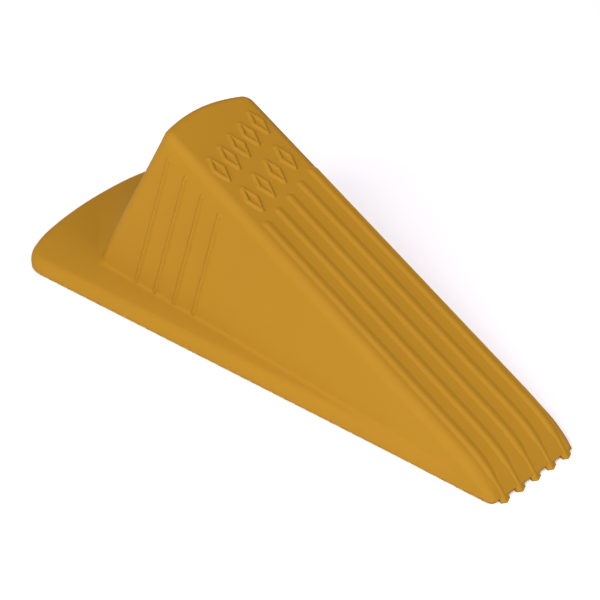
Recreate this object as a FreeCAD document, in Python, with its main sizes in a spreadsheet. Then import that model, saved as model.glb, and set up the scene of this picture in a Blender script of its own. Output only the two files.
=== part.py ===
import FreeCAD, Part
import Sketcher

import math
import os

# Large rubber door wedge, one moulding.  Millimetres, +Z up, +X from the heel to the toe.
# Every sub-part is drawn with x counted from the back of the heel plate, and its Placement
# moves it so that the origin is under the middle of the wedge, on the floor.

DRIVING = {
    # overall
    "overall_length": 171.45,
    "overall_width": 88.9,
    "overall_height": 50.8,
    # heel plate
    "heel_bow": 10.8,
    "corner_overhang": 0.7,
    "toe_half_width": 14.9,
    "plate_height": 6.2,
    "ledge_edge_height": 4.5,
    "ledge_slope": 0.2,
    "plate_edge_bevel": 1.4,
    "ledge_cut_width": 16.0,
    "cut_overlap": 2.0,
    "heel_corner_round": 5.5,
    # ramp, flanks and back of the wedge
    "ramp_start": 42.5,
    "ramp_slope": 0.361,
    "ramp_half_width": 15.2,
    "ramp_edge_round": 2.0,
    "flank_draft": 0.325,
    "back_foot": 24.2,
    "back_draft": 0.31,
    "back_foot_bow": 2.7,
    "back_top_bow": 3.4,
    "nose_start": 158.5,
    "nose_end": 170.7,
    "loft_top_front": 95.0,
    "loft_spare": 4.0,
    "loft_foot_front": 186.0,
    # concave sweep from the back down to the heel
    "sweep_reach": 24.0,
    "sweep_end_reach": 5.0,
    "sweep_half_span": 27.0,
    "sweep_sink": 0.3,
    # ramp ribs
    "rib_height": 0.6,
    "rib_width": 2.6,
    "rib_pitch": 5.86,
    "rib_aside": 0.7,
    "rib_first": 77.4,
    "rib_stagger": 1.96,
    "rib_round": 0.45,
    # flank ribs
    "flank_rib_first": 44.6,
    "flank_rib_pitch": 7.5,
    "flank_rib_head_first": 46.9,
    "flank_rib_head_pitch": 7.1,
    "flank_rib_head_drop": 5.6,
    "flank_rib_foot": 7.2,
    "flank_rib_width": 1.8,
    "flank_rib_height": 0.5,
    # raised lozenges
    "mark_length": 10.4,
    "mark_width": 4.8,
    "mark_band": 1.2,
    "mark_height": 0.7,
    "mark_slant": 0.36,
    "upper_marks_at": 56.8,
    "upper_pitch": 5.2,
    "lower_marks_at": 69.4,
    "lower_pitch": 6.0,
    # hollow underside and its webs
    "wall": 4.2,
    "ramp_wall": 4.5,
    "core_rear": 33.0,
    "core_top_rear": 48.0,
    "core_front": 140.0,
    "core_top_front": 118.0,
    "core_top": 30.0,
    "web_thickness": 3.0,
    "web_first": 59.0,
    "web_pitch": 27.0,
}

RAMP_RIBS = 5
MIDDLE_RIB = 3
FLANK_RIBS = 4
CROSS_WEBS = 3
LOZENGE_ROWS = {"upper": 5, "lower": 4}

# Values worked out from the driving ones.
DERIVED = {
    # the sides and the bowed heel would meet outside the overall width; the round brings them in
    "half_width": "overall_width / 2 + corner_overhang",
    "heel_radius": "(heel_bow ^ 2 + half_width ^ 2) / (2 * heel_bow)",
    "plate_front": "overall_length + 6",
    "above": "overall_height + 20",
    "below": "-5",
    "ramp_angle": "atan(ramp_slope)",
    "ramp_cut_start": "ramp_start - 20",
    "ramp_cut_start_z": "overall_height + ramp_slope * 20",
    "nose_start_z": "overall_height - ramp_slope * (nose_start - ramp_start)",
    # the nose and the crest of a rib leave the ramp along arcs and come down to the floor
    "nose_run": "nose_end - nose_start",
    "nose_radius": "(nose_run ^ 2 + nose_start_z ^ 2) / "
                   "(2 * (nose_start_z * cos(ramp_angle) - nose_run * sin(ramp_angle)))",
    "nose_centre_x": "nose_start - nose_radius * sin(ramp_angle)",
    "nose_centre_z": "nose_start_z - nose_radius * cos(ramp_angle)",
    "crest_x": "nose_start + rib_height * sin(ramp_angle)",
    "crest_z": "nose_start_z + rib_height * cos(ramp_angle)",
    "crest_run": "overall_length - crest_x",
    "crest_radius": "(crest_run ^ 2 + crest_z ^ 2) / "
                    "(2 * (crest_z * cos(ramp_angle) - crest_run * sin(ramp_angle)))",
    "crest_centre_x": "crest_x - crest_radius * sin(ramp_angle)",
    "crest_centre_z": "crest_z - crest_radius * cos(ramp_angle)",
    "nose_cut_x": "nose_centre_x + sqrt(nose_radius ^ 2 - (below - nose_centre_z) ^ 2)",
    "plate_front_y": "toe_half_width - (half_width - toe_half_width) * "
                     "(plate_front - overall_length) / (overall_length - heel_bow)",
    # each side is cut to a bevel and a ledge that rises from it
    "side_taper": "(half_width - toe_half_width) / (overall_length - heel_bow)",
    "side_rear_y": "half_width + side_taper * heel_bow",
    "ledge_rise": "ledge_slope / sqrt(1 + side_taper ^ 2)",
    "ledge_low_z": "ledge_edge_height - plate_edge_bevel - cut_overlap",
    "ledge_bevel_z": "ledge_edge_height + ledge_rise * plate_edge_bevel",
    "ledge_high_z": "ledge_edge_height + ledge_rise * ledge_cut_width",
    "ledge_rear_out_y": "side_rear_y + cut_overlap",
    "ledge_rear_bevel_y": "side_rear_y - plate_edge_bevel",
    "ledge_rear_in_y": "side_rear_y - ledge_cut_width",
    "ledge_front_out_y": "plate_front_y + cut_overlap",
    "ledge_front_bevel_y": "plate_front_y - plate_edge_bevel",
    "ledge_front_in_y": "plate_front_y - ledge_cut_width",
    # the flank plane: half width grows with the depth below the ramp plane
    "back_foot_corner": "back_foot + back_foot_bow",
    "foot_rear_y": "ramp_half_width + flank_draft * "
                   "(overall_height - ramp_slope * (back_foot_corner - ramp_start))",
    "foot_front_y": "ramp_half_width + flank_draft * "
                    "(overall_height - ramp_slope * (loft_foot_front - ramp_start))",
    # the loft ends above the ramp, which then cuts it
    "loft_top": "overall_height + loft_spare",
    "top_rear": "back_foot + back_draft * loft_top",
    "top_rear_corner": "top_rear + back_top_bow",
    "top_rear_y": "ramp_half_width - flank_draft * "
                  "(ramp_slope * (top_rear_corner - ramp_start) + loft_spare)",
    "top_front_y": "ramp_half_width - flank_draft * "
                   "(ramp_slope * (loft_top_front - ramp_start) + loft_spare)",
    "foot_radius": "(back_foot_bow ^ 2 + foot_rear_y ^ 2) / (2 * back_foot_bow)",
    "top_radius": "(back_top_bow ^ 2 + top_rear_y ^ 2) / (2 * back_top_bow)",
    "far_front": "overall_length + 30",
    "ramp_end_z": "overall_height - ramp_slope * (far_front - ramp_start)",
    # the sweep's arc touches the plate and the back: both tangents have the same length
    "back_lean": "atan(back_draft)",
    "sweep_base_z": "plate_height - sweep_sink",
    "mid_corner_x": "back_foot + back_draft * sweep_base_z + sweep_sink",
    "mid_foot_x": "mid_corner_x - sweep_reach",
    "mid_inside_x": "mid_corner_x + 16",
    "mid_top_x": "mid_corner_x + sweep_reach * sin(back_lean)",
    "mid_top_z": "sweep_base_z + sweep_reach * cos(back_lean)",
    "mid_sweep_radius": "sweep_reach / tan((90 - back_lean / 1deg) * 0.5deg)",
    "side_corner_x": "back_foot + sweep_half_span ^ 2 / (2 * foot_radius) + "
                     "back_draft * sweep_base_z + sweep_sink",
    "side_foot_x": "side_corner_x - sweep_end_reach",
    "side_inside_x": "side_corner_x + 4",
    "side_top_x": "side_corner_x + sweep_end_reach * sin(back_lean)",
    "side_top_z": "sweep_base_z + sweep_end_reach * cos(back_lean)",
    "side_sweep_radius": "sweep_end_reach / tan((90 - back_lean / 1deg) * 0.5deg)",
    # the hollow: planes set in from the ramp, the flanks and the back
    "core_foot_rear_y": "foot_rear_y - flank_draft * ramp_slope * (core_rear - back_foot_corner)"
                        " - wall",
    "core_foot_front_y": "foot_rear_y - flank_draft * ramp_slope * "
                         "(core_front - back_foot_corner) - wall",
    "core_top_rear_y": "core_foot_rear_y - flank_draft * "
                       "(core_top + ramp_slope * (core_top_rear - core_rear))",
    "core_top_front_y": "core_foot_front_y - flank_draft * "
                        "(core_top + ramp_slope * (core_top_front - core_front))",
    "core_ramp_start_z": "overall_height + ramp_slope * 20 - ramp_wall",
    "core_ramp_end_z": "ramp_end_z - ramp_wall",
    "half_web": "web_thickness / 2",
    # ramp ribs and marks
    "half_flank_rib": "flank_rib_width / 2",
    "flank_end_radius": "flank_rib_width * 0.55",
    "mark_tip": "mark_length / 2",
    "mark_side": "mark_width / 2",
    # the hollow of a lozenge has sides parallel to its own, one band width in
    "mark_band_share": "mark_band * sqrt(mark_tip ^ 2 + mark_side ^ 2) / (mark_tip * mark_side)",
    "mark_hollow_tip": "mark_tip * (1 - mark_band_share)",
    "mark_hollow_side": "mark_side * (1 - mark_band_share)",
}
for number in range(1, RAMP_RIBS + 1):
    start = "rib_%d_start" % number
    DERIVED[start] = "rib_first - %d * rib_stagger" % (number - MIDDLE_RIB)
    DERIVED[start + "_z"] = "overall_height - ramp_slope * (%s - ramp_start)" % start
    DERIVED[start + "_top_x"] = start + " + rib_height * sin(ramp_angle)"
    DERIVED[start + "_top_z"] = start + "_z + rib_height * cos(ramp_angle)"
for number in range(1, FLANK_RIBS + 1):
    foot, head = "flank_%d_foot" % number, "flank_%d_head" % number
    DERIVED[foot + "_x"] = "flank_rib_first + %d * flank_rib_pitch" % (number - 1)
    DERIVED[head + "_x"] = "flank_rib_head_first + %d * flank_rib_head_pitch" % (number - 1)
    DERIVED[head + "_z"] = ("overall_height - ramp_slope * (%s_x - ramp_start) - "
                            "flank_rib_head_drop" % head)
    DERIVED[foot + "_y"] = ("ramp_half_width + flank_draft * (overall_height - "
                            "ramp_slope * (%s_x - ramp_start) - flank_rib_foot)" % foot)
    DERIVED[head + "_y"] = "ramp_half_width + flank_draft * flank_rib_head_drop"
    DERIVED["flank_%d_length" % number] = (
        "sqrt(({h}_x - {f}_x) ^ 2 + ({h}_y - {f}_y) ^ 2 + ({h}_z - flank_rib_foot) ^ 2)".format(
            h=head, f=foot))


def number_sheet(doc):
    """The driving dimensions, and below them the values that follow from them."""
    sheet = doc.addObject("Spreadsheet::Sheet", "Dims")
    row = 1
    for alias, value in DRIVING.items():
        sheet.set("A%d" % row, alias)
        sheet.set("B%d" % row, str(value))
        sheet.setAlias("B%d" % row, alias)
        row += 1
    doc.recompute()
    for alias, formula in DERIVED.items():
        sheet.set("A%d" % row, alias)
        sheet.set("B%d" % row, "=" + formula)
        sheet.setAlias("B%d" % row, alias)
        row += 1
        doc.recompute()
    return sheet


class Builder:
    """Makes bodies and sketches whose sizes are bound to the sheet."""

    def __init__(self, doc, sheet):
        self.doc = doc
        self.sheet = sheet

    def value(self, name):
        """Number held under a name of the sheet, negated where the name starts with a minus."""
        if name == "zero":
            return 0.0
        number = self.sheet.get(name.lstrip("-"))
        number = getattr(number, "Value", number)
        return -float(number) if name.startswith("-") else float(number)

    def formula(self, name):
        if name == "zero":
            return "0"
        return ("-" if name.startswith("-") else "") + "Dims." + name.lstrip("-")

    def body(self, label):
        """A body whose origin lies at the back of the heel plate, on the floor."""
        body = self.doc.addObject("PartDesign::Body", label)
        body.Label = label
        body.setExpression("Placement.Base.x", "-Dims.overall_length / 2")
        return body

    def sketch(self, body, name, role, lift="zero"):
        """A sketch on one of the body's origin planes, lifted along that plane's normal."""
        sketch = body.newObject("Sketcher::SketchObject", name)
        plane = [f for f in body.Origin.OriginFeatures if f.Role == role][0]
        sketch.AttachmentSupport = [(plane, "")]
        sketch.MapMode = "FlatFace"
        if lift != "zero":
            sketch.setExpression("AttachmentOffset.Base.z", self.formula(lift))
        return sketch

    def outline(self, sketch, corners, arcs=None):
        """Closed outline through corners, given as pairs of sheet names.

        arcs maps the index of an edge to (radius name, 1 or -1): the side of the edge,
        left or right of its direction, on which the arc's centre lies.
        """
        arcs = arcs or {}
        points = [FreeCAD.Vector(self.value(x), self.value(y), 0) for x, y in corners]
        count = len(points)
        forward = []
        for i in range(count):
            start, end = points[i], points[(i + 1) % count]
            if i not in arcs:
                sketch.addGeometry(Part.LineSegment(start, end), False)
                forward.append(True)
                continue
            radius, side = self.value(arcs[i][0]), arcs[i][1]
            centre = arc_centre(start, end, radius, side)
            first, last = (start, end) if side > 0 else (end, start)
            circle = Part.Circle(centre, FreeCAD.Vector(0, 0, 1), radius)
            arc = Part.ArcOfCircle(circle, angle_to(centre, first), angle_to(centre, last))
            sketch.addGeometry(arc, False)
            forward.append(side > 0)
        begins = [1 if ahead else 2 for ahead in forward]
        ends = [2 if ahead else 1 for ahead in forward]
        for i in range(count):
            after = (i + 1) % count
            sketch.addConstraint(Sketcher.Constraint("Coincident", i, ends[i], after, begins[after]))
        for i, (x, y) in enumerate(corners):
            for kind, name in (("DistanceX", x), ("DistanceY", y)):
                number = self.value(name)
                index = sketch.addConstraint(Sketcher.Constraint(kind, i, begins[i], number))
                sketch.setExpression("Constraints[%d]" % index, self.formula(name))
        for i, (radius, side) in arcs.items():
            number = self.value(radius)
            index = sketch.addConstraint(Sketcher.Constraint("Radius", i, number))
            sketch.setExpression("Constraints[%d]" % index, self.formula(radius))
        return sketch

    def pad(self, body, sketch, length, both_ways=False):
        pad = body.newObject("PartDesign::Pad", sketch.Name + "_pad")
        pad.Profile = sketch
        pad.setExpression("Length", self.formula(length))
        if both_ways:
            pad.Midplane = True
        self.doc.recompute()
        return pad

    def cut_through(self, body, sketch):
        """Cuts the sketch through the whole body, both ways, and checks that it removed metal."""
        before = body.Shape.Volume
        pocket = body.newObject("PartDesign::Pocket", sketch.Name + "_cut")
        pocket.Profile = sketch
        pocket.Type = 1
        pocket.Midplane = True
        self.doc.recompute()
        if body.Shape.Volume >= before:
            raise RuntimeError(sketch.Name + " cut nothing")
        return pocket

    def loft(self, body, kind, sketches, ruled=True):
        loft = body.newObject("PartDesign::" + kind, sketches[0].Name + "_loft")
        loft.Profile = sketches[0]
        loft.Sections = sketches[1:]
        loft.Ruled = ruled
        self.doc.recompute()
        return loft

    def round_edges(self, body, radius, wanted, kind="Fillet"):
        """Rounds, or chamfers, every edge of the body's tip for which wanted(edge) holds."""
        tip = body.Tip
        names = ["Edge%d" % (i + 1) for i, edge in enumerate(tip.Shape.Edges) if wanted(edge)]
        if not names:
            raise RuntimeError(body.Label + ": no edge to round by " + radius)
        fillet = body.newObject("PartDesign::" + kind, body.Name + "_" + radius)
        fillet.Base = (tip, names)
        fillet.setExpression("Radius" if kind == "Fillet" else "Size", self.formula(radius))
        self.doc.recompute()
        return fillet


def arc_centre(start, end, radius, side):
    chord = end - start
    middle = (start + end) * 0.5
    left = FreeCAD.Vector(-chord.y, chord.x, 0).normalize()
    rise = math.sqrt(radius ** 2 - (chord.Length / 2) ** 2)
    return middle + left * (rise * side)


def angle_to(centre, point):
    return math.atan2(point.y - centre.y, point.x - centre.x)


def middle_of(edge):
    return edge.valueAt((edge.FirstParameter + edge.LastParameter) / 2)


def plan_column(make, label, height):
    """The outline of the whole wedge seen from above, raised to a height."""
    body = make.body(label)
    plan = make.sketch(body, label + "_plan", "XY_Plane")
    make.outline(plan, [("heel_bow", "half_width"), ("heel_bow", "-half_width"),
                        ("plate_front", "-plate_front_y"), ("plate_front", "plate_front_y")],
                 {0: ("heel_radius", 1)})
    make.pad(body, plan, height)
    return body


def heel_plate(make):
    """Plate under the whole wedge: bowed heel, straight sides, a ledge that falls to each side."""
    body = plan_column(make, "heel_plate", "plate_height")
    make.round_edges(body, "heel_corner_round",
                     lambda e: is_upright(e) and middle_of(e).x < make.value("ramp_start"))
    make.round_edges(body, "plate_edge_bevel",
                     lambda e: is_plate_top_edge(e, make.value), "Chamfer")
    for side, sign in (("right", "-"), ("left", "")):
        sections = []
        for end, lift in (("rear", "zero"), ("front", "plate_front")):
            section = make.sketch(body, "%s_ledge_%s" % (side, end), "YZ_Plane", lift)
            outside, bevel, inside = (sign + "ledge_%s_%s_y" % (end, part)
                                      for part in ("out", "bevel", "in"))
            make.outline(section, [(outside, "ledge_low_z"), (bevel, "ledge_bevel_z"),
                                   (inside, "ledge_high_z"), (outside, "ledge_high_z")])
            sections.append(section)
        make.loft(body, "SubtractiveLoft", sections)
    return body


def wedge_block(make):
    """Drafted wedge that stands on the plate, with rounded ramp edges and a swept back."""
    body = make.body("wedge_block")
    foot = make.sketch(body, "wedge_foot", "XY_Plane")
    make.outline(foot, [("back_foot_corner", "foot_rear_y"), ("back_foot_corner", "-foot_rear_y"),
                        ("loft_foot_front", "-foot_front_y"), ("loft_foot_front", "foot_front_y")],
                 {0: ("foot_radius", 1)})
    top = make.sketch(body, "wedge_top", "XY_Plane", "loft_top")
    make.outline(top, [("top_rear_corner", "top_rear_y"), ("top_rear_corner", "-top_rear_y"),
                       ("loft_top_front", "-top_front_y"), ("loft_top_front", "top_front_y")],
                 {0: ("top_radius", 1)})
    make.loft(body, "AdditiveLoft", [foot, top])
    ramp = make.sketch(body, "ramp_side", "XZ_Plane")
    make.outline(ramp, [("ramp_cut_start", "ramp_cut_start_z"), ("far_front", "ramp_end_z"),
                        ("far_front", "above"), ("ramp_cut_start", "above")])
    make.cut_through(body, ramp)
    make.round_edges(body, "ramp_edge_round", lambda e: is_ramp_edge(e, make.value))
    heel_sweep(make, body)
    return body


def nose_cutter(make):
    """What lies in front of the round nose."""
    body = make.body("nose_cutter")
    side = make.sketch(body, "nose_side", "XZ_Plane")
    make.outline(side, [("nose_start", "nose_start_z"), ("nose_cut_x", "below"),
                        ("far_front", "below"), ("far_front", "above"), ("nose_start", "above")],
                 {0: ("nose_radius", -1)})
    make.pad(body, side, "overall_width", both_ways=True)
    return body


def heel_sweep(make, body):
    """Concave sweep from the back of the wedge down to the plate, widest in the middle."""
    sections = []
    for name, lift, place in (("sweep_right", "sweep_half_span", "side"),
                              ("sweep_middle", "zero", "mid"),
                              ("sweep_left", "-sweep_half_span", "side")):
        section = make.sketch(body, name, "XZ_Plane", lift)
        foot_x, top_x, inside, top_z = (place + end for end in (
            "_foot_x", "_top_x", "_inside_x", "_top_z"))
        make.outline(section, [(foot_x, "sweep_base_z"), (top_x, top_z), (inside, top_z),
                               (inside, "sweep_base_z")], {0: (place + "_sweep_radius", 1)})
        sections.append(section)
    make.loft(body, "AdditiveLoft", sections, ruled=False)


def is_ramp_edge(edge, value):
    """Edges of the ramp: both sides and the rear."""
    point = middle_of(edge)
    ramp = value("overall_height") - value("ramp_slope") * (point.x - value("ramp_start"))
    return abs(point.z - ramp) < 1.0 and point.x < value("nose_start")


def is_upright(edge):
    low, high = edge.BoundBox.ZMin, edge.BoundBox.ZMax
    across = max(edge.BoundBox.XLength, edge.BoundBox.YLength)
    return high - low > 1.0 and across < 0.01


def is_plate_top_edge(edge, value):
    """Outer top edges of the plate, all but the one across the nose."""
    point = middle_of(edge)
    return point.z > value("plate_height") - 0.01 and point.x < value("plate_front") - 0.5


def hollow_core(make):
    """The space under the wedge, a body of its own that is taken out of the solid."""
    body = make.body("hollow_core")
    foot = make.sketch(body, "core_foot", "XY_Plane")
    make.outline(foot, [("core_rear", "core_foot_rear_y"), ("core_rear", "-core_foot_rear_y"),
                        ("core_front", "-core_foot_front_y"), ("core_front", "core_foot_front_y")])
    top = make.sketch(body, "core_ceiling", "XY_Plane", "core_top")
    make.outline(top, [("core_top_rear", "core_top_rear_y"), ("core_top_rear", "-core_top_rear_y"),
                       ("core_top_front", "-core_top_front_y"),
                       ("core_top_front", "core_top_front_y")])
    make.loft(body, "AdditiveLoft", [foot, top])
    ramp = make.sketch(body, "core_ramp", "XZ_Plane")
    make.outline(ramp, [("ramp_cut_start", "core_ramp_start_z"), ("far_front", "core_ramp_end_z"),
                        ("far_front", "above"), ("ramp_cut_start", "above")])
    make.cut_through(body, ramp)
    return body


def boolean(make, kind, label, first, second):
    """Part::Fuse, Part::Cut or Part::Common of two objects."""
    result = make.doc.addObject("Part::" + kind, label)
    result.Label = label
    result.Base = first
    result.Tool = second
    make.doc.recompute()
    return result


def ramp_rib(make, number):
    """Rib on the ramp, square to the floor at its head, that runs round the nose to the floor."""
    body = make.body("ramp_rib_%d" % number)
    body.setExpression("Placement.Base.y",
                       "%d * Dims.rib_pitch + Dims.rib_aside" % (number - MIDDLE_RIB))
    side = make.sketch(body, "rib_side_%d" % number, "XZ_Plane")
    start = "rib_%d_start" % number
    make.outline(side, [(start, start + "_z"), ("nose_start", "nose_start_z"), ("nose_end", "zero"),
                        ("overall_length", "zero"), ("crest_x", "crest_z"),
                        (start + "_top_x", start + "_top_z")],
                 {1: ("nose_radius", -1), 3: ("crest_radius", 1)})
    make.pad(body, side, "rib_width", both_ways=True)
    make.round_edges(body, "rib_round", lambda e: is_rib_crest(e, make.value, number))
    return body


def is_rib_crest(edge, value, number):
    """The two long crest edges of a ramp rib, straight and round, and the one across its head."""
    point = middle_of(edge)
    ramp = value("overall_height") - value("ramp_slope") * (point.x - value("ramp_start"))
    if point.x < value("crest_x") - 0.01:
        high = point.z - ramp > 0.7 * value("rib_height")
    else:
        out = math.hypot(point.x - value("crest_centre_x"), point.z - value("crest_centre_z"))
        high = abs(out - value("crest_radius")) < 0.01 and point.z > 0.1
    lengthwise = abs(point.y) > 0.4 * value("rib_width")
    at_head = point.x < value("rib_%d_start" % number) + value("rib_height")
    return high and (lengthwise or at_head)


def frame_on_face(along, normal):
    """Rotation that lays a body's X along a face and its Z out of it."""
    along = FreeCAD.Vector(along).normalize()
    normal = FreeCAD.Vector(normal).normalize()
    return FreeCAD.Rotation(along, normal.cross(along), normal, "XZY")


def flank_rib(make, side, number):
    """Low straight rib that climbs the flank from the plate towards the ramp."""
    label = "%s_flank_rib_%d" % ("left" if side > 0 else "right", number)
    body = make.doc.addObject("PartDesign::Body", label)
    body.Label = label
    value = make.value
    names = ["flank_%d_%s" % (number, end) for end in ("foot_x", "foot_y", "head_x", "head_y",
                                                       "head_z")]
    foot_x, foot_y, head_x, head_y, head_z = (value(name) for name in names)
    foot_z = value("flank_rib_foot")
    along = FreeCAD.Vector(head_x - foot_x, side * (head_y - foot_y), head_z - foot_z)
    lean = value("flank_draft") * value("ramp_slope")
    normal = FreeCAD.Vector(lean, side, value("flank_draft"))
    place = FreeCAD.Vector(foot_x - value("overall_length") / 2, side * foot_y, foot_z)
    body.Placement = FreeCAD.Placement(place, frame_on_face(along, normal))
    plan = make.sketch(body, "flank_plan_" + label, "XY_Plane")
    length = "flank_%d_length" % number
    make.outline(plan, [("zero", "-half_flank_rib"), (length, "-half_flank_rib"),
                        (length, "half_flank_rib"), ("zero", "half_flank_rib")],
                 {1: ("flank_end_radius", 1)})
    make.pad(body, plan, "flank_rib_height")
    return body


def lozenge(make, row, number, count):
    """Raised outline of a lozenge on the ramp, its long axis down the ramp."""
    label = "%s_lozenge_%d" % (row, number)
    body = make.doc.addObject("PartDesign::Body", label)
    body.Label = label
    value = make.value
    aside = (number - (count + 1) / 2) * value(row + "_pitch")
    x = value(row + "_marks_at") - value("mark_slant") * aside
    z = value("overall_height") - value("ramp_slope") * (x - value("ramp_start"))
    along = FreeCAD.Vector(1, 0, -value("ramp_slope"))
    normal = FreeCAD.Vector(value("ramp_slope"), 0, 1)
    place = FreeCAD.Vector(x - value("overall_length") / 2, aside, z)
    body.Placement = FreeCAD.Placement(place, frame_on_face(along, normal))
    rim = make.sketch(body, "rim_of_" + label, "XY_Plane")
    diamond(make, rim, "mark_tip", "mark_side")
    make.pad(body, rim, "mark_height")
    hollow = make.sketch(body, "hollow_of_" + label, "XY_Plane")
    diamond(make, hollow, "mark_hollow_tip", "mark_hollow_side")
    make.cut_through(body, hollow)
    return body


def diamond(make, sketch, tip, side):
    make.outline(sketch, [(tip, "zero"), ("zero", side), ("-" + tip, "zero"), ("zero", "-" + side)])


def slab(make, label, sizes, place):
    """Upright box that a web is taken from; sizes and place are sheet formulas."""
    box = make.doc.addObject("Part::Box", label)
    for side, formula in zip(("Length", "Width", "Height"), sizes):
        box.setExpression(side, formula)
    for axis, formula in zip("xyz", place):
        box.setExpression("Placement.Base." + axis, formula)
    make.doc.recompute()
    return box


def webs(make, core):
    """A web along the middle of the hollow and pairs of webs across it, down to the floor."""
    along = slab(make, "centre_slab",
                 ("Dims.overall_length", "Dims.web_thickness", "Dims.overall_height"),
                 ("-Dims.overall_length / 2", "-Dims.half_web", "0"))
    nodes = [boolean(make, "Common", "centre_web", core, along)]
    for side in ("left", "right"):
        y = "Dims.half_web" if side == "left" else "-Dims.half_web - Dims.half_width"
        for number in range(1, CROSS_WEBS + 1):
            x = "Dims.web_first + %d * Dims.web_pitch" % (number - 1)
            across = slab(make, "%s_slab_%d" % (side, number),
                          ("Dims.web_thickness", "Dims.half_width", "Dims.overall_height"),
                          (x + " - Dims.overall_length / 2", y, "0"))
            label = "%s_cross_web_%d" % (side, number)
            nodes.append(boolean(make, "Common", label, core, across))
    return nodes


def check(doc, nodes):
    for item in doc.Objects:
        if {"Invalid", "Error"} & set(item.State):
            raise RuntimeError("%s: %s" % (item.Label, item.State))
    for node in nodes:
        if node.Shape.isNull() or not node.Shape.isValid():
            raise RuntimeError(node.Label + " has no valid shape")
        print("%-22s %8.0f mm3 %d solid" % (node.Label, node.Shape.Volume, len(node.Shape.Solids)))


def main():
    doc = FreeCAD.newDocument("door_wedge")
    make = Builder(doc, number_sheet(doc))
    core = hollow_core(make)
    column = plan_column(make, "plan_column", "above")
    block = boolean(make, "Common", "block_in_plan", wedge_block(make), column)
    solid = boolean(make, "Fuse", "wedge_on_plate", heel_plate(make), block)
    nosed = boolean(make, "Cut", "wedge_with_nose", solid, nose_cutter(make))
    nodes = [boolean(make, "Cut", "wedge_shell", nosed, core)]
    nodes += [ramp_rib(make, number) for number in range(1, RAMP_RIBS + 1)]
    nodes += [flank_rib(make, side, number)
              for side in (1, -1) for number in range(1, FLANK_RIBS + 1)]
    for row, count in LOZENGE_ROWS.items():
        nodes += [lozenge(make, row, number, count) for number in range(1, count + 1)]
    nodes += webs(make, core)
    doc.recompute()
    check(doc, nodes)
    os.makedirs("parts", exist_ok=True)
    for node in nodes:
        node.Shape.exportStep(os.path.join("parts", node.Label + ".step"))


main()
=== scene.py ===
import math

import bpy
import numpy as np
from mathutils import Euler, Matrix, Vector


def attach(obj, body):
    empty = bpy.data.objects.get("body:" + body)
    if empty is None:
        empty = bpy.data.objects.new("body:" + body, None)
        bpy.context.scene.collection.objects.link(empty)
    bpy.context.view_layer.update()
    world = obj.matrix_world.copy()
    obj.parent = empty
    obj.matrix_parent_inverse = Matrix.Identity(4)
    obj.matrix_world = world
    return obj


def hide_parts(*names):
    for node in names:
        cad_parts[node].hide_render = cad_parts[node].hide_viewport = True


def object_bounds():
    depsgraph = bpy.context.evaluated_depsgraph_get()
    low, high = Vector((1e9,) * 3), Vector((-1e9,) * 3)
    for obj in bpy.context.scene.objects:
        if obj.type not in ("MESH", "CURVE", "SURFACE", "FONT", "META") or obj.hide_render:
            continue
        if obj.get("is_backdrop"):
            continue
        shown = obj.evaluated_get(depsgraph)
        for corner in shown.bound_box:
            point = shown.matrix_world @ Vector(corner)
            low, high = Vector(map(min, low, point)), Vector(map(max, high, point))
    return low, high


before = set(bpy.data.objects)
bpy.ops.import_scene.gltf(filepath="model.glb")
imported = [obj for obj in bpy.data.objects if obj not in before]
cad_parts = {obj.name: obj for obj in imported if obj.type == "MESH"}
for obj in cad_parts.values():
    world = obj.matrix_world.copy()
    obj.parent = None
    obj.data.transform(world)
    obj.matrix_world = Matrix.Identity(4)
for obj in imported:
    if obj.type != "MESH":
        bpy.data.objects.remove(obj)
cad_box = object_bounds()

# Moulded rubber door wedge.  Shapes are worked out in millimetres with x counted from the back
# of the heel, y from the middle and z from the floor, and become metres in the frame's own
# axes in to_frame().  A surface is where its field, a distance in millimetres, is zero.

MM = 0.001
LENGTH = 171.45
HEIGHT = 50.8

# plate under the wedge; HALF_WIDTH is where the sides and the heel would meet without a round
HALF_WIDTH = 45.23
HEEL_BOW = 10.6
TOE_HALF_WIDTH = 14.91
PLATE_TOP = 6.5
PLATE_FALL = 0.0036
LEDGE_EDGE_TOP = 4.05
LEDGE_SLOPE = 0.27
LEDGE_STEEPER = 0.0017          # added slope for each millimetre past LEDGE_STEEPER_FROM
LEDGE_STEEPER_FROM = 33.0
LEDGE_ROUND = 2.0
PLATE_EDGE_ROUND = 2.9
HEEL_CORNER_ROUND = 5.5
TOE_CORNER_ROUND = 1.8

# ramp, nose and flanks
RAMP_START = 42.33
RAMP_SLOPE = 0.3598
RAMP_HALF_WIDTH = 15.21
RAMP_EDGE_ROUND = 2.2
FLANK_DRAFT = 0.325
NOSE_START = 158.7
NOSE_END = 171.5
TOE_RIB_END = 172.1
RIB_HEIGHT = 0.40
CREASE_ROUND = 0.9
BLOCK_PLAN_ROUND = 1.0

# back of the wedge and its sweep down to the heel
BACK_FOOT = 24.07
BACK_DRAFT = 0.309
BACK_BOW_FOOT = 0.005
BACK_BOW_TOP = 0.0245
BACK_EDGE_ROUND = 2.7
SWEEP_REACH = 26.0
SWEEP_TAPER = 1.2
SWEEP_HALF_SPAN = 30.8
SWEEP_BLEND = 12.0
SWEEP_END_BLEND = 3.0
# where the sweep fades in: distance out from the back's face, less than nought being inside
# the block, and distance in from the flanks' faces
SWEEP_FADE_BACK = (-8.0, -2.0)
SWEEP_FADE_FLANK = (0.0, 5.0)

# hollow underside
WALL = 4.2
RAMP_WALL = 4.5
CORE_REAR, CORE_TOP_REAR = 33.0, 48.0
CORE_FRONT, CORE_TOP_FRONT = 140.0, 118.0
CORE_TOP = 30.0
CORE_ROUND = 1.5
WEB = 3.0
WEB_FIRST, WEB_PITCH, WEBS = 59.0, 27.0, 3
WEB_ROUND = 0.6
WEB_ROOT = 0.25
SOLE_ROUND = 0.6

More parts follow.
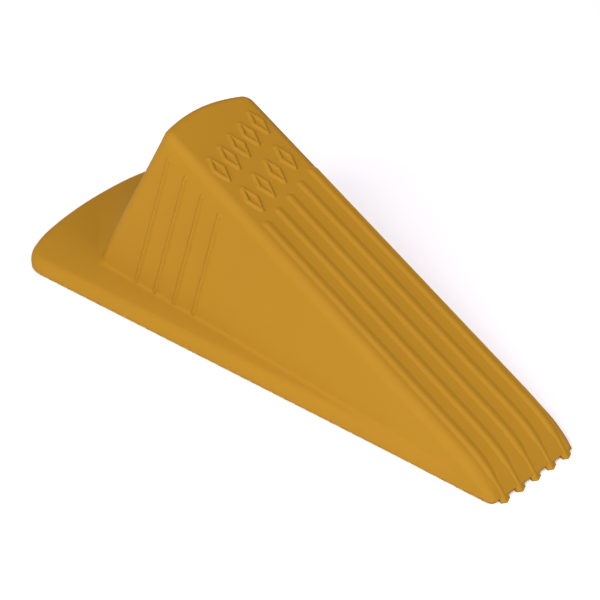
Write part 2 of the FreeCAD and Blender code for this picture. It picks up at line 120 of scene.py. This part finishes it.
RAMP_ANGLE = math.atan(RAMP_SLOPE)
SIN, COS = math.sin(RAMP_ANGLE), math.cos(RAMP_ANGLE)


def ramp_z(x):
    return HEIGHT - RAMP_SLOPE * (x - RAMP_START)


# The nose leaves the ramp at NOSE_START along an arc and reaches the floor at NOSE_END.
NOSE_RUN = NOSE_END - NOSE_START
NOSE_FALL = ramp_z(NOSE_START)
NOSE_RADIUS = (NOSE_RUN ** 2 + NOSE_FALL ** 2) / (2 * (NOSE_FALL * COS - NOSE_RUN * SIN))
NOSE_X = NOSE_START - NOSE_RADIUS * SIN
NOSE_Z = NOSE_FALL - NOSE_RADIUS * COS
TOE_RIB_HEIGHT = math.hypot(TOE_RIB_END - NOSE_X, NOSE_Z) - NOSE_RADIUS


def to_frame(points):
    return (np.asarray(points) - (LENGTH / 2, 0, 0)) * MM


def from_frame(points):
    return np.asarray(points) / MM + (LENGTH / 2, 0, 0)


# ---------------------------------------------------------------- fields


def both(a, b, radius):
    """Inside both: an outer corner rounded by radius."""
    return np.minimum(np.maximum(a, b), -radius) + np.hypot(
        np.maximum(a + radius, 0), np.maximum(b + radius, 0))


def either(a, b, radius):
    """Inside either: an inner corner filled by radius."""
    return np.maximum(np.minimum(a, b), radius) - np.hypot(
        np.maximum(radius - a, 0), np.maximum(radius - b, 0))


def lesser(a, b, blend):
    """The lesser of two numbers, eased over the given difference where they cross."""
    share = np.clip(0.5 + 0.5 * (b - a) / blend, 0, 1)
    return b + (a - b) * share - blend * share * (1 - share)


def step(low, high, value):
    t = np.clip((value - low) / (high - low), 0, 1)
    return t * t * (3 - 2 * t)


def ramp_field(x, z):
    """The ramp and the round nose that follows it."""
    plane = (x - RAMP_START) * SIN + (z - HEIGHT) * COS
    arc = np.hypot(x - NOSE_X, z - NOSE_Z) - NOSE_RADIUS
    past = (x - NOSE_X) * COS - (z - NOSE_Z) * SIN > 0
    return np.where(past, arc, plane)


def flank_field(x, y, z, inset=0.0):
    gap = np.abs(y) - (RAMP_HALF_WIDTH + FLANK_DRAFT * (ramp_z(x) - z) - inset)
    return gap / math.sqrt(1 + FLANK_DRAFT ** 2 * (1 + RAMP_SLOPE ** 2))


def back_field(x, y, z):
    bow = BACK_BOW_FOOT + BACK_BOW_TOP * (z / HEIGHT) ** 3
    gap = BACK_FOOT + BACK_DRAFT * z + 0.5 * bow * y ** 2 - x
    return gap / np.sqrt(1 + BACK_DRAFT ** 2 + (bow * y) ** 2)


def side_field(x, y):
    taper = (HALF_WIDTH - TOE_HALF_WIDTH) / (LENGTH - HEEL_BOW)
    return (np.abs(y) - HALF_WIDTH + taper * (x - HEEL_BOW)) / math.hypot(1, taper)


def plan_field(x, y):
    """Outline of the plate: bowed heel and straight sides that run in towards the toe."""
    radius = (HEEL_BOW ** 2 + HALF_WIDTH ** 2) / (2 * HEEL_BOW)
    heel = np.hypot(x - radius, y) - radius
    return both(side_field(x, y), heel, HEEL_CORNER_ROUND)


def top_field(x, y, z):
    """Top of the plate: nearly level, with a ledge that falls away to each side."""
    level = (z - PLATE_TOP + PLATE_FALL * x) / math.hypot(1, PLATE_FALL)
    slope = LEDGE_SLOPE + LEDGE_STEEPER * np.maximum(x - LEDGE_STEEPER_FROM, 0)
    ledge = (z - LEDGE_EDGE_TOP + slope * side_field(x, y)) / np.hypot(1, slope)
    return both(level, ledge, LEDGE_ROUND)


def outer_field(points):
    """The wedge on its plate, solid."""
    x, y, z = points.T
    ramp, plan = ramp_field(x, z), plan_field(x, y)
    flank, back = flank_field(x, y, z), back_field(x, y, z)
    plate = both(both(plan, top_field(x, y, z), PLATE_EDGE_ROUND), ramp, TOE_CORNER_ROUND)
    block = both(both(flank, ramp, RAMP_EDGE_ROUND), plan, BLOCK_PLAN_ROUND)
    block = both(block, back, BACK_EDGE_ROUND)
    reach = -SWEEP_TAPER * lesser(0, np.abs(y) - SWEEP_HALF_SPAN, SWEEP_END_BLEND)
    reach = lesser(reach, SWEEP_REACH, SWEEP_BLEND)
    behind = step(*SWEEP_FADE_BACK, back) * step(*SWEEP_FADE_FLANK, -flank)
    fill = CREASE_ROUND + behind * reach * math.cos(math.atan(BACK_DRAFT))
    return both(either(plate, block, fill), -z, SOLE_ROUND)


def core_field(points):
    """The hollow under the wedge."""
    x, y, z = points.T
    ramp = (x - RAMP_START) * SIN + (z - HEIGHT + RAMP_WALL) * COS
    lean_rear = (CORE_TOP_REAR - CORE_REAR) / CORE_TOP
    lean_front = (CORE_FRONT - CORE_TOP_FRONT) / CORE_TOP
    rear = (CORE_REAR + lean_rear * z - x) / math.hypot(1, lean_rear)
    front = (x - CORE_FRONT + lean_front * z) / math.hypot(1, lean_front)
    sides = both(flank_field(x, y, z, WALL), both(rear, front, CORE_ROUND), CORE_ROUND)
    return both(sides, both(ramp, z - CORE_TOP, CORE_ROUND), CORE_ROUND)


def shell_field(points):
    return both(outer_field(points), -core_field(points), SOLE_ROUND)


def web_field(axis, near, far):
    """A web across the hollow between two values of x, or of y, let a little into the walls."""
    def field(points):
        along = points[:, axis]
        slab = both(near - along, along - far, WEB_ROUND)
        return np.maximum(both(slab, -points[:, 2], WEB_ROUND), core_field(points) - WEB_ROOT)
    return field


# ---------------------------------------------------------------- meshes on fields

VOXEL = 0.7
SETTLE_LIMIT = 2.0


def gradient(field, points, reach=0.01):
    slopes = []
    for axis in range(3):
        nudge = np.zeros(3)
        nudge[axis] = reach
        slopes.append((field(points + nudge) - field(points - nudge)) / (2 * reach))
    return np.stack(slopes, axis=1)


def settle(field, points, rounds=3):
    """Moves points onto the surface of a field."""
    for _ in range(rounds):
        slope = gradient(field, points)
        size = np.maximum((slope ** 2).sum(axis=1), 0.05)
        shift = field(points)[:, None] * slope / size[:, None]
        points = points - np.clip(shift, -SETTLE_LIMIT, SETTLE_LIMIT)
    return points


def neighbour_mean(points, edges):
    count = np.bincount(edges.ravel(), minlength=len(points))
    total = np.zeros_like(points)
    for axis in range(3):
        total[:, axis] = (
            np.bincount(edges[:, 0], points[edges[:, 1], axis], len(points)) +
            np.bincount(edges[:, 1], points[edges[:, 0], axis], len(points)))
    return total / np.maximum(count, 1)[:, None]


def mesh_points(mesh):
    flat = np.empty(len(mesh.vertices) * 3)
    mesh.vertices.foreach_get("co", flat)
    return flat.reshape(-1, 3)


def mesh_edges(mesh):
    flat = np.empty(len(mesh.edges) * 2, dtype=np.int64)
    mesh.edges.foreach_get("vertices", flat)
    return flat.reshape(-1, 2)


def remeshed(mesh, voxel):
    """Even quad mesh round a closed mesh."""
    holder = bpy.data.objects.new("remesh_holder", mesh)
    bpy.context.scene.collection.objects.link(holder)
    tool = holder.modifiers.new("even", "REMESH")
    tool.mode = "VOXEL"
    tool.voxel_size = voxel * MM
    shaped = holder.evaluated_get(bpy.context.evaluated_depsgraph_get())
    result = bpy.data.meshes.new_from_object(shaped)
    bpy.data.objects.remove(holder)
    return result


def field_mesh(name, node, field, voxel, relaxing=6):
    """Mesh of a field's surface, grown from the CAD node that it stands for."""
    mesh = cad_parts[node].data.copy()
    for _ in range(2):
        mesh = remeshed(mesh, voxel)
        points, edges = from_frame(mesh_points(mesh)), mesh_edges(mesh)
        points = settle(field, points)
        for _ in range(relaxing):
            points = settle(field, 0.5 * (points + neighbour_mean(points, edges)), 2)
        mesh.vertices.foreach_set("co", to_frame(points).ravel())
        mesh.update()
    mesh.name = name
    normals = gradient(field, points)
    normals /= np.linalg.norm(normals, axis=1)[:, None]
    return finished(name, mesh, normals)


def finished(name, mesh, normals):
    """Object of a mesh whose shading follows the given normals."""
    mesh.polygons.foreach_set("use_smooth", np.ones(len(mesh.polygons), dtype=bool))
    mesh.normals_split_custom_set_from_vertices([tuple(n) for n in normals])
    piece = bpy.data.objects.new(name, mesh)
    bpy.context.scene.collection.objects.link(piece)
    return piece


# ---------------------------------------------------------------- relief on the faces

# depth under the face of a raised feature's rim, and of its bottom
RELIEF_SINK = 0.03
RELIEF_ROOT = 0.45


def relief(name, place, distance, lengths, widths, height, edge, end=None):
    """A raised feature: a height over a face, given by the distance from its middle line.

    place(u, v, h) is the point at height h over the face, distance(u, v) the distance from the
    feature's middle line, height a number or a function of u, edge the two distances between
    which the height runs out, and end a value of u at which the feature is cut off square.
    """
    u, v = np.meshgrid(lengths, widths, indexing="ij")
    kept = distance(u, v) < edge[1] * 0.999
    cells = kept[:-1, :-1] & kept[1:, :-1] & kept[:-1, 1:] & kept[1:, 1:]
    rows, columns = np.nonzero(cells)
    corner = rows * len(widths) + columns
    quads = np.stack([corner, corner + len(widths), corner + len(widths) + 1, corner + 1], axis=1)
    used, quads = np.unique(quads, return_inverse=True)
    quads = quads.reshape(-1, 4)
    u, v = u.ravel()[used], v.ravel()[used]

    # the rim goes out to where the height is nought
    sides = np.concatenate([quads[:, [i, (i + 1) % 4]] for i in range(4)])
    key = np.sort(sides, axis=1)
    _, first, count = np.unique(key, axis=0, return_index=True, return_counts=True)
    rim_sides = sides[first[count == 1]]
    rim = np.unique(rim_sides)
    if end is not None:
        rim = rim[u[rim] < end - 1e-6]
    for _ in range(4):
        gap = distance(u[rim], v[rim]) - edge[1]
        tiny = 1e-3
        du = (distance(u[rim] + tiny, v[rim]) - distance(u[rim] - tiny, v[rim])) / (2 * tiny)
        dv = (distance(u[rim], v[rim] + tiny) - distance(u[rim], v[rim] - tiny)) / (2 * tiny)
        size = np.maximum(du ** 2 + dv ** 2, 0.05)
        u[rim] -= gap * du / size
        v[rim] -= gap * dv / size
    if end is not None:
        at_end = np.abs(u - end) < 1e-6
        v[at_end] *= edge[1] / distance(u[at_end], v[at_end]).max()

    def surface(u, v):
        out = step(edge[0], edge[1], distance(u, v))
        crest = height(u) if callable(height) else height
        return place(u, v, crest * (1 - out) - RELIEF_SINK * out)

    top = surface(u, v)
    along = surface(u + 0.01, v) - surface(u - 0.01, v)
    across = surface(u, v + 0.01) - surface(u, v - 0.01)
    normals = np.cross(along, across)
    normals /= np.linalg.norm(normals, axis=1)[:, None]
    bottom = place(u, v, np.full_like(u, -RELIEF_ROOT))
    count = len(u)
    walls = np.stack([rim_sides[:, 1], rim_sides[:, 0],
                      rim_sides[:, 0] + count, rim_sides[:, 1] + count], axis=1)
    faces = np.concatenate([quads, quads[:, ::-1] + count, walls])
    mesh = bpy.data.meshes.new(name)
    mesh.from_pydata(to_frame(np.concatenate([top, bottom])).tolist(), [], faces.tolist())
    mesh.validate()
    return finished(name, mesh, np.concatenate([normals, -normals]))


def on_ramp(start_x, across):
    """Face of the ramp and the nose: u runs from start_x towards the toe, v to the left."""
    straight = (NOSE_START - start_x) / COS

    def place(u, v, h):
        x = start_x + u * COS + h * SIN
        z = ramp_z(start_x) - u * SIN + h * COS
        floor = np.arccos(np.clip(-NOSE_Z / (NOSE_RADIUS + h), -1, 1)) - RAMP_ANGLE
        share = (u - straight) / nose_length()
        angle = RAMP_ANGLE + np.maximum(share, 0) * floor
        arc_x = NOSE_X + (NOSE_RADIUS + h) * np.sin(angle)
        arc_z = NOSE_Z + (NOSE_RADIUS + h) * np.cos(angle)
        past = u > straight
        y = across + v
        return np.stack([np.where(past, arc_x, x), y, np.where(past, arc_z, z)], axis=-1)

    return place, straight + nose_length()


def nose_length():
    return NOSE_RADIUS * (math.acos(-NOSE_Z / NOSE_RADIUS) - RAMP_ANGLE)


def on_flank(side, foot, head):
    """Face of a flank: u runs from foot to head, each given as x and depth below the ramp."""
    def corner(x, depth):
        z = ramp_z(x) - depth
        return np.array([x, side * (RAMP_HALF_WIDTH + FLANK_DRAFT * depth), z])

    start, finish = corner(*foot), corner(*head)
    along = finish - start
    length = np.linalg.norm(along)
    along = along / length
    normal = np.array([FLANK_DRAFT * RAMP_SLOPE, side, FLANK_DRAFT])
    normal /= np.linalg.norm(normal)
    across = np.cross(normal, along)

    def place(u, v, h):
        return (start + np.multiply.outer(u, along) + np.multiply.outer(v, across) +
                np.multiply.outer(h, normal))

    return place, length


def stroke(*points):
    """Distance from a bent line in u and v."""
    def distance(u, v):
        best = None
        for (au, av), (bu, bv) in zip(points, points[1:]):
            du, dv = bu - au, bv - av
            t = np.clip(((u - au) * du + (v - av) * dv) / (du * du + dv * dv), 0, 1)
            gap = np.hypot(u - au - t * du, v - av - t * dv)
            best = gap if best is None else np.minimum(best, gap)
        return best
    return distance


# ramp ribs: RIB_ASIDE moves them to the left, RIB_LEAN makes their right side narrower and so
# steeper than the left one, and round the nose they narrow and come back by RIB_RETURN
RAMP_RIBS = 5
RIB_PITCH = 5.868
RIB_FIRST = 77.2
RIB_STAGGER = 1.94
RIB_ASIDE = 0.85
RIB_EDGE = (0.0, 1.75)
RIB_LEAN = 0.16
RIB_NARROWING = 0.12
RIB_RETURN = 0.7
RIB_HEAD = 3.0
RIB_HEAD_GRID = 0.25


def ramp_rib(number):
    place_in_row = number - (RAMP_RIBS + 1) // 2
    start = RIB_FIRST - RIB_STAGGER * place_in_row
    place, length = on_ramp(start, place_in_row * RIB_PITCH + RIB_ASIDE)
    straight = length - nose_length()
    lengths = np.concatenate([np.arange(-RIB_EDGE[1], RIB_HEAD, RIB_HEAD_GRID),
                              np.linspace(RIB_HEAD, straight, 80)[:-1],
                              np.linspace(straight, length, 48)])
    widths = np.linspace(-RIB_EDGE[1] * 0.998, RIB_EDGE[1] * 0.998, 17)
    widths = widths / (1 - RIB_LEAN * np.sign(widths))

    def round_the_nose(u):
        return step(-0.4, 1, (u - straight) / nose_length())

    def crest(u):
        return RIB_HEIGHT + (TOE_RIB_HEIGHT - RIB_HEIGHT) * round_the_nose(u)

    def distance(u, v):
        return np.hypot(np.minimum(u, 0), v * (1 - RIB_LEAN * np.sign(v)))

    def round_to_floor(u, v, h):
        share = round_the_nose(u)
        return place(u, v / (1 + RIB_NARROWING * share) - RIB_RETURN * share, h)

    return relief("ramp_rib_%d" % number, round_to_floor, distance, lengths, widths, crest,
                  RIB_EDGE, end=length)


# flank ribs: x of the first foot and head, how far on the next ones are, height of the foot
# over the floor and drop of the head below the ramp
FLANK_RIBS = 4
FLANK_FOOT_X, FLANK_FOOT_PITCH, FLANK_FOOT_Z = 44.6, 7.5, 6.3
FLANK_HEAD_X, FLANK_HEAD_PITCH, FLANK_HEAD_DROP = 46.9, 7.1, 5.6
FLANK_RIB_EDGE = (0.0, 1.1)
FLANK_RIB_HEIGHT = 0.7
FLANK_HEAD = 2.0
FLANK_HEAD_GRID = 0.2


def flank_rib(side, number):
    name = "%s_flank_rib_%d" % ("left" if side > 0 else "right", number)
    foot_x = FLANK_FOOT_X + FLANK_FOOT_PITCH * (number - 1)
    head_x = FLANK_HEAD_X + FLANK_HEAD_PITCH * (number - 1)
    foot = (foot_x, ramp_z(foot_x) - FLANK_FOOT_Z)
    place, length = on_flank(side, foot, (head_x, FLANK_HEAD_DROP))
    head = length - FLANK_HEAD
    lengths = np.concatenate([np.linspace(0, head, 60)[:-1],
                              np.arange(head, length + FLANK_RIB_EDGE[1], FLANK_HEAD_GRID)])
    widths = np.linspace(-FLANK_RIB_EDGE[1] * 0.998, FLANK_RIB_EDGE[1] * 0.998, 15)

    def distance(u, v):
        return np.hypot(np.maximum(u - length, 0), v)

    return relief(name, place, distance, lengths, widths, FLANK_RIB_HEIGHT, FLANK_RIB_EDGE)


# rows of outlined lozenges: how many, x of the row on the middle line, pitch across
LOZENGE_ROWS = {"upper": (5, 56.8, 5.2), "lower": (4, 69.4, 6.0)}
LOZENGE_SLANT = 0.36
LOZENGE_TIP = 4.3
LOZENGE_SIDE = 1.55
LOZENGE_HEIGHT = 0.6
LOZENGE_EDGE = (0.15, 0.95)
LOZENGE_MARGIN = 1.2
LOZENGE_GRID = 0.18


def lozenge(row, number):
    count, row_x, pitch = LOZENGE_ROWS[row]
    aside = (number - (count + 1) / 2) * pitch
    place, _ = on_ramp(row_x - LOZENGE_SLANT * aside, aside)
    distance = stroke((LOZENGE_TIP, 0), (0, LOZENGE_SIDE), (-LOZENGE_TIP, 0), (0, -LOZENGE_SIDE),
                      (LOZENGE_TIP, 0))
    long = LOZENGE_TIP + LOZENGE_MARGIN
    wide = LOZENGE_SIDE + LOZENGE_MARGIN
    lengths = np.arange(-long, long, LOZENGE_GRID)
    widths = np.arange(-wide, wide, LOZENGE_GRID)
    return relief("%s_lozenge_%d" % (row, number), place, distance, lengths, widths,
                  LOZENGE_HEIGHT, LOZENGE_EDGE)


# ---------------------------------------------------------------- material


RUBBER_DARK = (0.318, 0.158, 0.0108, 1)
RUBBER_LIGHT = (0.334, 0.166, 0.0116, 1)
RUBBER_ROUGHNESS = (0.56, 0.68)
RUBBER_SPECULAR = 0.09
CLOUD_SCALE = 22
GRAIN_SCALE = 2600
GRAIN_STRENGTH = 0.25
GRAIN_HEIGHT = 0.00004


def rubber():
    """Matte moulded rubber: even colour with faint clouding, fine grain and dull sheen."""
    material = bpy.data.materials.new("yellow_rubber")
    material.use_nodes = True
    tree = material.node_tree
    nodes, links = tree.nodes, tree.links
    shader = nodes["Principled BSDF"]
    where = nodes.new("ShaderNodeTexCoord")

    cloud = nodes.new("ShaderNodeTexNoise")
    cloud.inputs["Scale"].default_value = CLOUD_SCALE
    cloud.inputs["Detail"].default_value = 3
    links.new(where.outputs["Object"], cloud.inputs["Vector"])
    tint = nodes.new("ShaderNodeValToRGB")
    tint.color_ramp.elements[0].position = 0.35
    tint.color_ramp.elements[0].color = RUBBER_DARK
    tint.color_ramp.elements[1].position = 0.68
    tint.color_ramp.elements[1].color = RUBBER_LIGHT
    links.new(cloud.outputs["Fac"], tint.inputs["Fac"])
    links.new(tint.outputs["Color"], shader.inputs["Base Color"])

    rough = nodes.new("ShaderNodeMapRange")
    rough.inputs["To Min"].default_value = RUBBER_ROUGHNESS[0]
    rough.inputs["To Max"].default_value = RUBBER_ROUGHNESS[1]
    links.new(cloud.outputs["Fac"], rough.inputs["Value"])
    links.new(rough.outputs["Result"], shader.inputs["Roughness"])

    grain = nodes.new("ShaderNodeTexNoise")
    grain.inputs["Scale"].default_value = GRAIN_SCALE
    grain.inputs["Detail"].default_value = 2
    links.new(where.outputs["Object"], grain.inputs["Vector"])
    fine = nodes.new("ShaderNodeBump")
    fine.inputs["Strength"].default_value = GRAIN_STRENGTH
    fine.inputs["Distance"].default_value = GRAIN_HEIGHT
    links.new(grain.outputs["Fac"], fine.inputs["Height"])
    links.new(fine.outputs["Normal"], shader.inputs["Normal"])

    shader.inputs["Specular IOR Level"].default_value = RUBBER_SPECULAR
    return material


# ---------------------------------------------------------------- camera, floor and light


LENS = 98.97
EYE = (353.01, -246.41, 297.66)
EYE_TILT = 51.445
EYE_TURN = 47.716


def camera():
    data = bpy.data.cameras.new("camera")
    data.lens = LENS
    data.sensor_width = 36
    data.clip_start = 0.01
    eye = bpy.data.objects.new("camera", data)
    eye.location = to_frame(EYE)
    eye.rotation_euler = Euler((math.radians(EYE_TILT), 0, math.radians(EYE_TURN)))
    bpy.context.scene.collection.objects.link(eye)
    bpy.context.scene.camera = eye


FLOOR_REACH = 3.0
FLOOR_COLOUR = (0.93, 0.93, 0.93, 1)


def floor():
    mesh = bpy.data.meshes.new("floor")
    reach = FLOOR_REACH
    mesh.from_pydata([(-reach, -reach, 0), (reach, -reach, 0), (reach, reach, 0),
                      (-reach, reach, 0)], [], [(0, 1, 2, 3)])
    ground = bpy.data.objects.new("floor", mesh)
    bpy.context.scene.collection.objects.link(ground)
    material = bpy.data.materials.new("pale_floor")
    material.use_nodes = True
    shader = material.node_tree.nodes["Principled BSDF"]
    shader.inputs["Base Color"].default_value = FLOOR_COLOUR
    shader.inputs["Roughness"].default_value = 0.9
    shader.inputs["Specular IOR Level"].default_value = 0.1
    mesh.materials.append(material)
    ground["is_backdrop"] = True


SKY_STRENGTH = 0.24
SOFTBOX_DISTANCE = 1.5
SOFTBOX_SIZE = 1.4
# each softbox: name, direction from the wedge, power and tint
SOFTBOXES = (
    ("side_key", (0.2, -0.85, 0.5), 17.7, (1, 1, 0.88)),
    ("overhead", (0, -0.3, 0.95), 16.9, (0.97, 0.9, 1)),
    ("front_fill", (0.85, 0, 0.5), 9.6, (1, 1, 1)),
)


def softbox(name, direction, distance, size, power, tint):
    data = bpy.data.lights.new(name, "AREA")
    data.shape = "DISK"
    data.size = size
    data.energy = power
    data.color = tint
    lamp = bpy.data.objects.new(name, data)
    aim = Vector(direction).normalized()
    lamp.location = aim * distance
    lamp.rotation_euler = aim.to_track_quat("Z", "Y").to_euler()
    bpy.context.scene.collection.objects.link(lamp)


def light():
    world = bpy.data.worlds.new("studio")
    bpy.context.scene.world = world
    world.use_nodes = True
    sky = world.node_tree.nodes["Background"]
    sky.inputs["Color"].default_value = (1, 1, 1, 1)
    sky.inputs["Strength"].default_value = SKY_STRENGTH
    for name, direction, power, tint in SOFTBOXES:
        softbox(name, direction, SOFTBOX_DISTANCE, SOFTBOX_SIZE, power, tint)


def main():
    camera()
    floor()
    light()
    scene = bpy.context.scene
    scene.view_settings.view_transform = "Standard"
    skin = rubber()
    pieces = {"wedge_shell": field_mesh("wedge_shell_skin", "wedge_shell", shell_field, VOXEL)}
    for number in range(1, RAMP_RIBS + 1):
        pieces["ramp_rib_%d" % number] = ramp_rib(number)
    for side in (1, -1):
        for number in range(1, FLANK_RIBS + 1):
            piece = flank_rib(side, number)
            pieces[piece.name.split(".")[0]] = piece
    for row, (count, _, _) in LOZENGE_ROWS.items():
        for number in range(1, count + 1):
            pieces["%s_lozenge_%d" % (row, number)] = lozenge(row, number)
    pieces["centre_web"] = field_mesh("centre_web_skin", "centre_web",
                                      web_field(1, -WEB / 2, WEB / 2), VOXEL)
    for number in range(1, WEBS + 1):
        near = WEB_FIRST + (number - 1) * WEB_PITCH
        for side in ("left", "right"):
            node = "%s_cross_web_%d" % (side, number)
            pieces[node] = field_mesh(node + "_skin", node, web_field(0, near, near + WEB), VOXEL)
    for node, piece in pieces.items():
        piece.name = node + "_skin"
        piece.data.materials.clear()
        piece.data.materials.append(skin)
        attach(piece, "root")
        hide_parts(node)


main()
plain = [[list(map(float, corner)) for corner in box] for box in (cad_box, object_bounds())]
